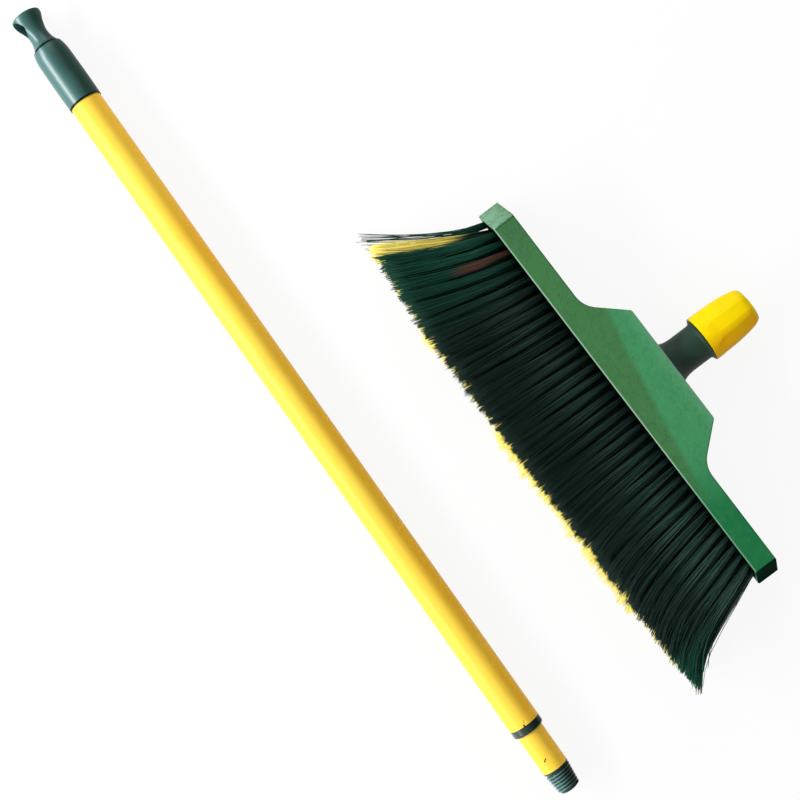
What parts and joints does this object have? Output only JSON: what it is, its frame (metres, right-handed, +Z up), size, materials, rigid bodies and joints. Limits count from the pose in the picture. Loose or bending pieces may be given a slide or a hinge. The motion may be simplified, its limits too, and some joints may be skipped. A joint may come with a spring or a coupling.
{
  "type": "broom",
  "caption": "Floor broom with a humped green block, fanned two-colour bristles and a clamp-nut socket, and its telescopic yellow twist-lock handle lying unscrewed beside it.",
  "frame": {"origin": "on the block's flat back, under the socket's axis, where the head rests on the floor", "axes": "+X along the block and, to 2 degrees, along the handle towards its threaded end, +Y along the handle socket away from the bristles, +Z up from the floor, out of the block's front face"},
  "size_m": [0.7033, 0.3286, 0.045],
  "materials": {
    "cover_green": "moulded polypropylene, satin",
    "block_black": "moulded polypropylene, matt",
    "bright_steel": "zinc plated",
    "neck_charcoal": "moulded polypropylene, fine grain",
    "natural_nylon": "unpigmented nylon",
    "nut_yellow": "moulded polypropylene, gloss",
    "tube_yellow": "steel tube with a yellow powder coat, gloss",
    "grip_green": "moulded polypropylene, satin",
    "plug_green": "moulded polypropylene, satin",
    "bristle_dark": "flagged polyester filament",
    "bristle_yellow": "flagged polyester filament"
  },
  "bodies": {
    "head": {"head_cover": "cover_green", "tuft_block": "block_black", "tuft_staples": "bright_steel", "block_screws": "bright_steel", "neck_socket": "neck_charcoal", "neck_screws": "bright_steel", "bristle_row_1": "bristle_dark", "bristle_row_2": "bristle_dark", "bristle_row_3": "bristle_yellow", "bristle_row_4": "bristle_yellow", "bristle_row_5": "bristle_dark"},
    "clamp": {"clamp_ring": "natural_nylon"},
    "nut": {"lock_nut": "nut_yellow"},
    "outer_handle": {"outer_tube": "tube_yellow", "grip_sleeve": "grip_green", "hang_cap": "grip_green", "collar_bush": "plug_green"},
    "expander": {"expander_sleeve": "natural_nylon"},
    "wedge": {"wedge_nut": "natural_nylon"},
    "inner_handle": {"inner_tube": "tube_yellow", "thread_plug": "plug_green", "lock_core": "natural_nylon", "stop_washer": "bright_steel", "stop_screw": "bright_steel"}
  },
  "joints": [
    {"name": "nut_turn", "type": "hinge", "parent": "clamp", "child": "nut", "pos_m": [0, 0.08, 0.0225], "axis": [0, 1, 0], "range_deg": [0, 360]},
    {"name": "clamp_slide", "type": "slide", "parent": "head", "child": "clamp", "axis": [0, 1, 0], "range_m": [0, 0.003]},
    {"name": "handle_lift", "type": "slide", "parent": "head", "child": "outer_handle", "axis": [0, 0, 1], "range_m": [0, 0.15]},
    {"name": "telescope", "type": "slide", "parent": "outer_handle", "child": "expander", "axis": [0.9994, -0.0349, 0], "range_m": [0, 0.45]},
    {"name": "twist_lock", "type": "hinge", "parent": "expander", "child": "inner_handle", "pos_m": [-0.37801, -0.20237, 0.01335], "axis": [-0.9994, 0.0349, 0], "range_deg": [0, 270]},
    {"name": "wedge_draw", "type": "slide", "parent": "expander", "child": "wedge", "axis": [0.9994, -0.0349, 0], "range_m": [0, 0.002]}
  ],
  "couplings": [
    {"joint": "clamp_slide", "follows": "nut_turn", "m_per_rad": 0.00047746},
    {"joint": "wedge_draw", "follows": "twist_lock", "m_per_rad": 0.0004}
  ]
}
